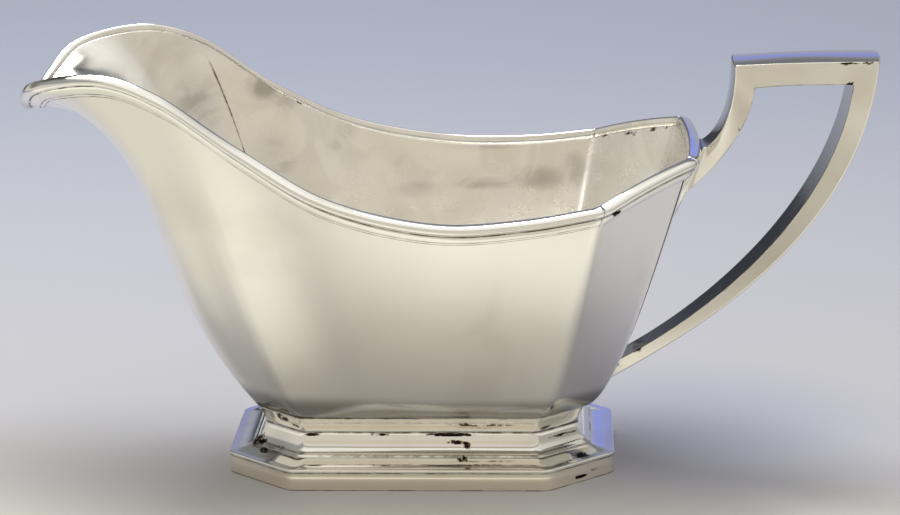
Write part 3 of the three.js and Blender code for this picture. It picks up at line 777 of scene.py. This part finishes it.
def make_bowl():
    """Outer and inner wall with soft creases, a slightly domed bottom and the sheet's top edge."""
    top = walls.below(REBATE_DEPTH - TOP_GAP)
    levels = 1 - (1 - np.linspace(0, 1, WALL_LEVELS + 1))**WALL_SPACING
    outer = np.array([walls.point(top * level) for level in levels])
    outer, apexes = round_corners(outer.transpose(1, 0, 2), walls.marks)
    outer = outer.transpose(1, 0, 2)
    around = np.roll(outer, -1, axis=1) - np.roll(outer, 1, axis=1)
    up = np.gradient(outer, axis=0)
    normal = unit(np.cross(around, up))
    inner = outer - normal * BOWL_SHEET
    inner[0, :, 2] = BOWL_SHEET
    fade = np.clip(levels * UNEVEN_RISE, 0, 1) * np.clip((1 - levels) * UNEVEN_FALL, 0, 1)
    outer = outer + normal * (fade[:, None] * uneven(outer, OUTER_UNEVEN))[..., None]
    inner = inner + normal * (fade[:, None] * uneven(inner, INNER_UNEVEN))[..., None]
    centre = inner[0].mean(axis=0)
    bottom = []
    for share in BOTTOM_RINGS:
        row = centre + (inner[0] - centre) * share
        row[:, 2] = BOWL_SHEET + BOTTOM_DOME * (1 - share**2)
        bottom.append(row)
    rows = np.vstack([outer, inner[::-1], np.array(bottom)])
    # Grime outside, at the foot and under the wire
    grime = np.zeros(rows.shape[:2])
    at_ends = np.maximum(fading(WALL_FOOT_GRIME, levels), fading(WALL_TOP_GRIME, 1 - levels))
    grime[:len(levels)] = at_ends[:, None]
    # A fine line along the crease behind the spout, on the lining
    lining = slice(len(levels), 2 * len(levels))
    for apex in (apexes[1], apexes[-2]):
        grime[lining, apex] = np.maximum(grime[lining, apex], CREASE_GRIME * fade[::-1])
    places_above = rows + np.array([0, 0, FOOT_HEIGHT])
    inside = (np.arange(len(rows)) >= len(levels))[:, None]
    # Painted shade: the outside darkens where the wall turns under towards the foot
    turn = np.exp(-(rows[..., 2] / TURN_HEIGHT)**TURN_SHARPNESS) * ~inside
    weights = {
        "grime": grime,
        "soft": inside * (1 - spots(places_above, BRIGHT_ZONES)) + TURN_SOFT * turn,
        # Painted dark reflections: grey clouds in the lining
        "painted_cloud": inside * spots(places_above, LINING_PAINTED_SHADE_CLOUDS),
        # Painted shade on the turn, and a spot of painted shade in the lining at the spout's tip
        "painted_shade": np.maximum(TURN_PAINTED_SHADE * turn, inside * spots(places_above, PAINTED_SHADE_ZONES["bowl"])),
    }
    return loft("bowl_shell", rows, weights, bowl_silver, FOOT_HEIGHT, place="bowl",
                sharp=[(len(levels) - 1, None)])


def rim_outline():
    """Rim wire section as (outwards, depth) with fine round edges, and its weights."""
    inner_face = -BOWL_SHEET - WIRE_PROUD
    bead_radius = (BEAD_WIDTH + WIRE_PROUD) / 2
    angles = math.pi * np.concatenate([np.linspace(1, 0.5, BEAD_POINTS)[:-1],
                                       np.linspace(0.5, 1 - BEAD_TURN, BEAD_POINTS + 1)])
    cosine, sine = np.cos(angles), np.sin(angles)
    fullness = np.where(cosine < 0, BEAD_INNER_FULLNESS, 1)
    bead = np.column_stack([
        inner_face + bead_radius + bead_radius * np.sign(cosine) * np.abs(cosine)**fullness,
        BEAD_DEPTH / 2 - BEAD_DEPTH / 2 * np.sign(sine) * np.abs(sine)**fullness,
    ])
    corners = [(inner_face, REBATE_DEPTH), *bead,
               (FILLET_PROUD - QUIRK_WIDTH, BEAD_DEPTH + QUIRK_FALL),
               (FILLET_PROUD, BEAD_DEPTH + QUIRK_DEPTH),
               (FILLET_PROUD, FILLET_DEPTH),
               (EDGE_PROUD, FILLET_DEPTH + QUIRK_FALL),
               (EDGE_PROUD, RIM_DEPTH),
               (0, RIM_DEPTH),
               (0, REBATE_DEPTH)]
    outline = rounded(corners, [0, *[0] * len(bead), *RIM_RADII, 0, 0])
    quirks = np.array([(FILLET_PROUD - QUIRK_WIDTH, BEAD_DEPTH + QUIRK_FALL),
                       (EDGE_PROUD, FILLET_DEPTH + QUIRK_FALL), (EDGE_PROUD, RIM_DEPTH)])
    distance = np.min(np.linalg.norm(outline[:, None] - quirks[None], axis=2), axis=1)
    inside = (outline[:, 0] < 0.1 - BOWL_SHEET) & (outline[:, 1] > 0.5)
    return outline, {"grime": bell(QUIRK_GRIME, distance)[None, :], "soft": inside[None, :]}


def make_rim_wires():
    """One loop round the crest, cut in hairline mitres at the four rear corners."""
    outline, weights = rim_outline()
    lap = lerp(TIP_LAP, 1, np.minimum(walls.from_tip, 1))
    drop = 1 + SPOUT_LAP_DROP * np.minimum(walls.share / CREASE_SHARE, 1) * np.minimum(walls.from_tip, 1)
    columns = []
    for outwards, depth in outline:
        lowered = np.where(depth > REBATE_DEPTH, REBATE_DEPTH + (depth - REBATE_DEPTH) * drop, depth)
        t = walls.below(np.maximum(lowered, 0))
        reach = outwards * lap if outwards > 0 else np.full(len(lap), outwards)
        columns.append(walls.point(t) + walls.normal(t) * reach[:, None])
    grid, apexes = round_corners(np.array(columns).transpose(1, 0, 2), walls.marks)
    count = len(grid)
    right_side, right_end, left_end, left_side = apexes[2:6]
    spans = {
        "rim_wire_front": (left_side - count, right_side),
        "rim_wire_rear_right": (right_side, right_end),
        "rim_wire_end": (right_end, left_end),
        "rim_wire_rear_left": (left_end, left_side),
    }
    made = {}
    for name, (start, stop) in spans.items():
        rows = grid[[i % count for i in range(start, stop + 1)]].copy()
        rows[0] += unit(rows[1] - rows[0]) * HAIRLINE / 2
        rows[-1] += unit(rows[-2] - rows[-1]) * HAIRLINE / 2
        made[name] = loft(name + "_moulding", rows, weights, wire_silver, FOOT_HEIGHT,
                          place="wires", sharp=[(None, len(outline) - 1)])
    return made


def foot_outline():
    """Foot section as (offset, height), outside from the joint down, then back up inside."""
    joint, waist = np.array([COLLAR_OVERHANG, FOOT_HEIGHT]), np.array([0, WAIST_HEIGHT])
    cove_end = np.array([COVE_REACH, COVE_HEIGHT])
    flange_start = cove_end + (COVE_STEP_REACH, -COVE_STEP_FALL)
    flange_end = np.array([FLANGE_REACH - BAND_THICKNESS - FLANGE_LEDGE, FLANGE_HEIGHT])

    def bend(start, end, shares):
        return lerp(start, end, np.array(shares))

    collar = bezier([joint, bend(joint, waist, COLLAR_BEND), waist], np.linspace(0, 1, COLLAR_POINTS))
    cove = bezier([waist, bend(waist, cove_end, COVE_UPPER_BEND),
                   bend(waist, cove_end, COVE_LOWER_BEND), cove_end], np.linspace(0, 1, COVE_POINTS))
    flange = bezier([flange_start, bend(flange_start, flange_end, FLANGE_BEND), flange_end],
                    np.linspace(0, 1, FLANGE_POINTS))
    outer = np.vstack([collar, cove[1:], flange])
    along = unit(np.gradient(outer, axis=0))
    inner = outer + np.column_stack([along[:, 1], -along[:, 0]]) * FOOT_SHEET
    inner[0, 1] = FOOT_HEIGHT
    low = FLANGE_HEIGHT - FOOT_SHEET
    level = inner[:, 0] > COVE_REACH + UNDERSIDE_LEVEL
    inner[:, 1] = np.where(level, np.minimum(inner[:, 1], low), inner[:, 1])
    edge = [(FLANGE_REACH, FLANGE_HEIGHT), (FLANGE_REACH, low)]
    corners = np.vstack([outer, edge, inner[::-1]])
    radii = np.zeros(len(corners))
    radii[len(outer):len(outer) + 2] = FLANGE_RADII
    outline = rounded(corners, radii)
    creases = np.array([joint, waist, (cove_end + flange_start) / 2, (FLANGE_REACH, low)])
    distance = np.min(np.linalg.norm(outline[:, None] - creases[None], axis=2), axis=1)
    return outline, bell(FOOT_GRIME, distance)


def octagon_rows(outline):
    """A ring of stations for every point of a section, with soft corners."""
    columns = []
    for offset, height in outline:
        ring, marks = octagon_ring(offset)
        columns.append(np.column_stack([ring, np.full(len(ring), height)]))
    grid, _ = round_corners(np.array(columns).transpose(1, 0, 2), marks)
    return grid


def make_foot():
    outline, grime = foot_outline()
    grid = octagon_rows(outline)
    above = grid[..., 2] - FLANGE_HEIGHT - FOOT_UNEVEN_START
    lift = uneven(grid, FOOT_UNEVEN) * np.clip(above / FOOT_UNEVEN_RISE, 0, 1)
    grid = grid + np.dstack([np.zeros_like(lift), np.zeros_like(lift), lift])
    return loft("foot_stepped", grid, {"grime": grime[None, :]}, foot_silver, 0, closed=True,
                place="foot")


def make_foot_band():
    top = FLANGE_HEIGHT - FOOT_SHEET + BAND_LAP
    inside = FLANGE_REACH - BAND_THICKNESS
    shoulder = top - BAND_SHOULDER
    front = [(FLANGE_REACH - BAND_CROWN * t * t, lerp(shoulder / 2, 0, t))
             for t in np.linspace(-1, 1, BAND_POINTS)]
    corners = [(FLANGE_REACH - BAND_CHAMFER, top), *front, (inside, 0), (inside, top)]
    outline = rounded(corners, [BAND_EDGE_RADIUS, *[0] * (len(front) - 1), BAND_EDGE_RADIUS,
                                BAND_INNER_RADIUS, 0])
    seam = bell(BAND_SEAM_GRIME, outline[:, 1] - top) + bell(BAND_EDGE_GRIME, outline[:, 1])
    return loft("foot_band", octagon_rows(outline), {"grime": np.minimum(seam, 1)[None, :]},
                band_silver, 0, closed=True, place="band")


# Middle of the end wall, for the plate and the handle

end_station = int(np.argmax(np.where(np.abs(walls.foot[:, 1]) < 1e-6, walls.foot[:, 0], -1e9)))
end_wall = np.array([walls.point(np.full(len(walls.foot), t))[end_station]
                     for t in np.linspace(0, 1, END_WALL_POINTS)])


def end_wall_x(height):
    return np.interp(height, end_wall[:, 2], end_wall[:, 0])


def plate_face_x(height):
    top = end_wall_x(PLATE_TOP) + PLATE_THICK_TOP + SEAM_GAP
    bottom = end_wall_x(PLATE_BOTTOM) + PLATE_THICK_BOTTOM + SEAM_GAP
    return lerp(bottom, top, (height - PLATE_BOTTOM) / (PLATE_TOP - PLATE_BOTTOM))


def make_plate():
    """Tongue-shaped plate against the end wall, with a soft raised face."""
    rows = []
    weights = []
    for t in np.linspace(0, 1, PLATE_ROWS):
        z = lerp(PLATE_BOTTOM, PLATE_TOP, t)
        half = PLATE_HALF_WIDTH * lerp(PLATE_TIP_SHARE, 1, math.sqrt(1 - (1 - t)**2))
        depth = plate_face_x(z) - end_wall_x(z) + SEAT_OVERLAP
        outline = rounded([(-half, 0), (-half, depth), (half, depth), (half, 0)],
                          [0, PLATE_RADIUS, PLATE_RADIUS, 0])
        crown = PLATE_CROWN * (1 - (outline[:, 0] / half)**2) * (outline[:, 1] > depth * 0.5)
        x = end_wall_x(z) - SEAT_OVERLAP + outline[:, 1] + crown
        rows.append(np.column_stack([x, outline[:, 0], np.full(len(x), z)]))
        weights.append(fading(PLATE_SEAM_GRIME, outline[:, 1]) + fading(PLATE_TIP_GRIME, t))
    return loft("handle_backing_tongue", np.array(rows), {"grime": np.minimum(weights, 1)},
                bowl_silver, FOOT_HEIGHT)


def pulled(start, pulls, end, t):
    start, end = np.array(start, float), np.array(end, float)
    return bezier([start, start + pulls[0], end + pulls[1], end], t)


def strap_section(half_width, depth, crown):
    """Flat inside, upright sides and a low crown outside, as (sideways, outwards)."""
    across = np.linspace(-1, 1, CROWN_POINTS)[1:-1] * CROWN_SPAN
    side = np.linspace(0, depth, STRAP_SIDE_POINTS)[1:-1]
    outline = [(-half_width, 0)] + [(-half_width, up) for up in side] + [(-half_width, depth)]
    outline += [(s * half_width, depth + crown * (1 - s * s)**CROWN_FULLNESS) for s in across]
    outline += [(half_width, depth)] + [(half_width, up) for up in side[::-1]] + [(half_width, 0)]
    plain = [0] * len(side)
    radii = [STRAP_INNER_RADIUS, *plain, STRAP_OUTER_RADIUS] + [0] * len(across)
    return rounded(outline, radii + [STRAP_OUTER_RADIUS, *plain, STRAP_INNER_RADIUS])


def handle_lines():
    """Inner and outer outline of the strap with its half width and crown, and its two corners."""
    def seat_x(z):
        return plate_face_x(z) - SEAT_OVERLAP

    leg_outer = (seat_x(LEG_SEAT_TOP), LEG_SEAT_TOP)
    leg_inner = (seat_x(LEG_SEAT_BOTTOM), LEG_SEAT_BOTTOM)
    inner_front = (HANDLE_TOP_FRONT[0] + HANDLE_LEG_DEPTH, HANDLE_TOP_FRONT[1] - HANDLE_BAR_DEPTH)
    inner_rear = (HANDLE_TOP_REAR[0] - HANDLE_SWEEP_DEPTH, HANDLE_TOP_REAR[1] - HANDLE_BAR_DEPTH)
    sweep_outer = (end_wall_x(SWEEP_SEAT_BOTTOM) - SEAT_OVERLAP, SWEEP_SEAT_BOTTOM)
    sweep_inner = (end_wall_x(SWEEP_SEAT_TOP) - SEAT_OVERLAP, SWEEP_SEAT_TOP)
    parts = [
        (LEG_STEPS, (leg_outer, LEG_OUTER_PULLS, HANDLE_TOP_FRONT),
         (leg_inner, LEG_INNER_PULLS, inner_front)),
        (BAR_STEPS, (HANDLE_TOP_FRONT, BAR_OUTER_PULLS, HANDLE_TOP_REAR),
         (inner_front, BAR_INNER_PULLS, inner_rear)),
        (SWEEP_STEPS, (HANDLE_TOP_REAR, SWEEP_OUTER_PULLS, sweep_outer),
         (inner_rear, SWEEP_INNER_PULLS, sweep_inner)),
    ]
    inner, outer, half_widths, crowns, marks = [], [], [], [], []
    for number, (steps, outer_line, inner_line) in enumerate(parts):
        length = np.linalg.norm(np.subtract(outer_line[2], outer_line[0]))
        near = STRAP_SUPPORT / length
        next_near = STRAP_SUPPORT_SPACING * near
        t = np.concatenate([[0, near, next_near], np.linspace(0, 1, steps)[1:-1],
                            [1 - next_near, 1 - near, 1]])
        t = np.unique(t)
        if number:
            marks.append(len(inner) - 1)
            t = t[1:]
        outer.extend(pulled(*outer_line, t))
        inner.extend(pulled(*inner_line, t))
        eased = t * t * (3 - 2 * t)
        half_widths.extend(lerp(HANDLE_HALF_WIDTHS[number], HANDLE_HALF_WIDTHS[number + 1], eased))
        crowns.extend(lerp(HANDLE_CROWNS[number], HANDLE_CROWNS[number + 1], t))
    return np.array(inner), np.array(outer), np.array(half_widths), np.array(crowns), marks


def make_handle():
    inner, outer, half_widths, crowns, marks = handle_lines()
    middle = (inner + outer) / 2
    run = np.concatenate([[0], np.cumsum(np.linalg.norm(np.diff(middle, axis=0), axis=1))])
    rows = []
    weights = []
    painted_shade = []
    for i in range(len(inner)):
        outwards = outer[i] - inner[i]
        depth = np.linalg.norm(outwards)
        outwards = outwards / depth
        from_end = min(run[i], run[-1] - run[i])
        flare = STRAP_FLARE * math.exp(-from_end / STRAP_FLARE_REACH)
        section = strap_section(half_widths[i] + flare, depth + 2 * flare, crowns[i])
        out = section[:, 1] - flare
        x = inner[i, 0] + outwards[0] * out
        z = inner[i, 1] + outwards[1] * out
        rows.append(np.column_stack([x, section[:, 0], z]))
        edge = (section[:, 1] < STRAP_EDGE) & (np.abs(section[:, 0]) > half_widths[i] - STRAP_EDGE)
        weights.append(np.maximum(fading(STRAP_END_GRIME, from_end), STRAP_EDGE_GRIME * edge))
        # Painted shade: darker outside on the leg and inside on the sweep
        leg = i < marks[0]
        sweep = i > marks[1]
        inward = section[:, 1] < 0.1
        outward = section[:, 1] > depth
        share = (run[i] - run[marks[1]]) / (run[-1] - run[marks[1]])
        sweep_painted_shade = SWEEP_PAINTED_SHADE + SWEEP_PAINTED_SHADE_GAIN * np.clip(share, 0, 1)
        painted_shade.append(LEG_PAINTED_SHADE * (outward & leg) + sweep_painted_shade * (inward & sweep))
    grid, weights, painted_shade = (round_corners(np.array(part), marks, STRAP_CORNER_CUTS)[0]
                           for part in (rows, weights, painted_shade))
    grid = grid + uneven(grid, STRAP_UNEVEN)[..., None]
    return loft("handle_strap", grid, {"grime": weights, "painted_shade": painted_shade}, cast_silver, FOOT_HEIGHT,
                place="handle")


pieces = [
    (make_bowl(), "bowl", "bowl_silver"),
    *((wire, node, "wire_silver") for node, wire in make_rim_wires().items()),
    (make_foot(), "foot", "foot_silver"),
    (make_foot_band(), "foot_edge_band", "wire_silver"),
    (make_plate(), "handle_backing_plate", "bowl_silver"),
    (make_handle(), "handle", "cast_silver"),
]
for piece, node, slot in pieces:
    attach(piece, "root")
    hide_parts(node)


# Camera at the photograph's viewing angle

CAMERA_PLACE = (33.82, -572.16, 207.22)
CAMERA_PITCH = math.radians(15.5)
CAMERA_YAW = 0.0471838
CAMERA_ROLL = 0.014269
CAMERA_LENS = 99.906

turn = (Matrix.Rotation(CAMERA_YAW, 3, "Z") @ Matrix.Rotation(-CAMERA_PITCH, 3, "X")
        @ Matrix.Rotation(CAMERA_ROLL, 3, "Y"))
right, forward, up = (turn.col[i] for i in range(3))
camera_data = bpy.data.cameras.new("camera")
camera_data.lens = CAMERA_LENS
camera_data.sensor_width = 36
camera_data.sensor_fit = "HORIZONTAL"
camera_data.clip_start = 0.01
camera = bpy.data.objects.new("camera", camera_data)
bpy.context.scene.collection.objects.link(camera)
pose = Matrix((right, up, -forward)).transposed().to_4x4()
pose.translation = Vector((CAMERA_PLACE[0] + MIDDLE_X, CAMERA_PLACE[1], CAMERA_PLACE[2])) * MM
camera.matrix_world = pose
bpy.context.scene.camera = camera


# Floor

def plane(name, size, height, material):
    corners = [(x * size / 2, y * size / 2, 0) for x, y in ((-1, -1), (1, -1), (1, 1), (-1, 1))]
    mesh = bpy.data.meshes.new(name)
    mesh.from_pydata(corners, [], [(0, 1, 2, 3)])
    mesh.materials.append(material)
    made = bpy.data.objects.new(name, mesh)
    made.location.z = height
    bpy.context.scene.collection.objects.link(made)


def lay_painted_shades(tree, place, under, zones):
    """Lays soft round zones of painted shade, as (middle, reach, strength, colour), over the floor's
    colour.
    """
    for middle, reach, strength, colour in zones:
        moved = add(tree, "VectorMath", {0: place, 1: (*middle, 0)}, operation="SUBTRACT")["Vector"]
        moved = add(tree, "VectorMath", {0: moved, 1: (*reach, 1)}, operation="DIVIDE")["Vector"]
        away = add(tree, "VectorMath", {0: moved}, operation="LENGTH")["Value"]
        under = mixed(tree, ranged(tree, away, 1.2, 0.05, 0, strength), under, (*colour, 1))
    return under


# The floor is pale: grey near the boat, bluer far behind it, and cream in front of it
FLOOR_NEAR = (0.50, 0.50, 0.54, 1)
FLOOR_FAR = (0.32, 0.35, 0.445, 1)
FLOOR_FRONT = (0.845, 0.835, 0.775, 1)
# Where it turns bluer and where it turns cream, in metres along Y
FLOOR_BEHIND = (-0.10, 0.55)
FLOOR_BEFORE = (0.0, -0.080)
FLOOR_SIZE = 6
FLOOR_ROUGHNESS = 0.7
# A hair below the foot, so that the two faces don't lie in one plane
FLOOR_TOP = -0.00004
# Painted shade on the floor, which the silver mirrors; the last two, beside the foot, are a painted
# shadow of the boat: middle and reach in metres, strength and colour
FLOOR_PAINTED_SHADES = [
    ((0.120, -0.435), (0.100, 0.180), 0.60, (0.50, 0.465, 0.385)),
    ((0.052, -0.290), (0.062, 0.080), 0.75, (0.45, 0.415, 0.335)),
    ((0.066, -0.155), (0.070, 0.070), 0.80, (0.31, 0.29, 0.245)),
    ((0.108, -0.230), (0.070, 0.110), 0.65, (0.36, 0.34, 0.29)),
    ((-0.150, -0.055), (0.095, 0.085), 0.85, (0.56, 0.54, 0.475)),
    ((-0.085, -0.010), (0.065, 0.045), 0.7, (0.30, 0.295, 0.30)),
    ((0.060, 0.015), (0.055, 0.055), 0.6, (0.30, 0.32, 0.46)),
]

floor_material, tree, bsdf = shader("floor_look")
place = add(tree, "TexCoord")["Object"]
along = add(tree, "SeparateXYZ", {0: place})["Y"]
behind = ranged(tree, along, *FLOOR_BEHIND)
front = ranged(tree, along, *FLOOR_BEFORE)
floor_colour = mixed(tree, behind, FLOOR_NEAR, FLOOR_FAR)
floor_colour = mixed(tree, front, floor_colour, FLOOR_FRONT)
# Painted shade and painted shadow on the floor
floor_colour = lay_painted_shades(tree, place, floor_colour, FLOOR_PAINTED_SHADES)
tree.links.new(floor_colour, bsdf.inputs["Base Color"])
bsdf.inputs["Roughness"].default_value = FLOOR_ROUGHNESS
plane("floor", FLOOR_SIZE, FLOOR_TOP, floor_material)


# Light: a cream room with softer and darker patches, and a softbox overhead

def heading(azimuth, elevation):
    """Unit vector to a place in the room: azimuth 0 is behind the boat, 90 is beyond its handle."""
    azimuth, elevation = math.radians(azimuth), math.radians(elevation)
    return Vector((math.sin(azimuth) * math.cos(elevation), math.cos(azimuth) * math.cos(elevation),
                   math.sin(elevation)))


def patch(tree, direction, under, azimuth, elevation, width, height, soft, colour):
    """Lays a soft-edged rectangle, with its sizes in degrees, over the room's colour so far."""
    ahead = heading(azimuth, elevation)
    sideways = heading(azimuth + 90, 0)
    upwards = sideways.cross(ahead)
    share = None
    dots = [add(tree, "VectorMath", {0: direction, 1: axis}, operation="DOT_PRODUCT")["Value"]
            for axis in (ahead, sideways, upwards)]
    for dot, size in ((dots[1], width), (dots[2], height)):
        slope = math_node(tree, "ABSOLUTE", math_node(tree, "DIVIDE", dot, dots[0]), 0)
        edge = math.tan(math.radians(size / 2))
        blur = math.tan(math.radians(soft)) / 2
        part = ranged(tree, slope, edge + blur, edge - blur)
        share = part if share is None else math_node(tree, "MULTIPLY", share, part)
    share = math_node(tree, "MULTIPLY", share, math_node(tree, "GREATER_THAN", dots[0], 0.02))
    return mixed(tree, share, under, (*colour, 1))


# The room's colour low down, higher up and overhead
ROOM_LOW = (0.65, 0.62, 0.55, 1)
ROOM_HIGH = (0.70, 0.68, 0.63, 1)
ROOM_OVERHEAD = (1.0, 0.98, 0.93, 1)
# Heights on the unit sphere between which each takes over from the one before
HIGH_RISE = (0.0, 0.75)
OVERHEAD_RISE = (0.70, 1.0)
# Its patches, in degrees: azimuth and elevation, width and height, softness, and colour
ROOM_PATCHES = [
    (88, 8, 60, 34, 16, (0.42, 0.41, 0.37)),
    (180, 24, 90, 14, 10, (0.64, 0.57, 0.45)),
    (180, 49, 110, 7, 5, (0.40, 0.33, 0.24)),
    (-30, 34, 90, 42, 18, (0.20, 0.19, 0.18)),
    (-66, 42, 52, 15, 8, (0.055, 0.052, 0.047)),
    (-96, 40, 60, 26, 12, (0.33, 0.33, 0.31)),
    (9, 38, 64, 28, 10, (0.19, 0.20, 0.22)),
    (22, 8, 90, 30, 24, (0.36, 0.38, 0.50)),
    (4, 15, 26, 9, 10, (0.28, 0.33, 0.80)),
    (-22, 2, 40, 16, 10, (0.075, 0.08, 0.10)),
]

world = bpy.data.worlds.new("studio")
world.use_nodes = True
bpy.context.scene.world = world
tree = world.node_tree
direction = add(tree, "TexCoord")["Generated"]
height = add(tree, "SeparateXYZ", {0: direction})["Z"]
room = mixed(tree, ranged(tree, height, *HIGH_RISE), ROOM_LOW, ROOM_HIGH)
room = mixed(tree, ranged(tree, height, *OVERHEAD_RISE), room, ROOM_OVERHEAD)
for patch_values in ROOM_PATCHES:
    room = patch(tree, direction, room, *patch_values)
tree.links.new(room, tree.nodes["Background"].inputs["Color"])


def soft_light(name, width, depth, place, target, power, colour):
    data = bpy.data.lights.new(name, "AREA")
    data.shape = "RECTANGLE"
    data.size = width
    data.size_y = depth
    data.energy = power
    data.color = colour
    lamp = bpy.data.objects.new(name, data)
    lamp.location = place
    aim = Vector(target) - Vector(place)
    lamp.rotation_euler = aim.to_track_quat("-Z", "Y").to_euler()
    bpy.context.scene.collection.objects.link(lamp)


SOFTBOX_WIDTH = 0.62
SOFTBOX_DEPTH = 0.48
SOFTBOX_PLACE = 1.1 * heading(-34, 64.5)
SOFTBOX_TARGET = (0, 0, 0.05)
SOFTBOX_POWER = 9.0
SOFTBOX_COLOUR = (1.0, 0.99, 0.97)
soft_light("overhead_softbox", SOFTBOX_WIDTH, SOFTBOX_DEPTH, SOFTBOX_PLACE, SOFTBOX_TARGET,
           SOFTBOX_POWER, SOFTBOX_COLOUR)

bpy.context.scene.view_settings.view_transform = "Standard"
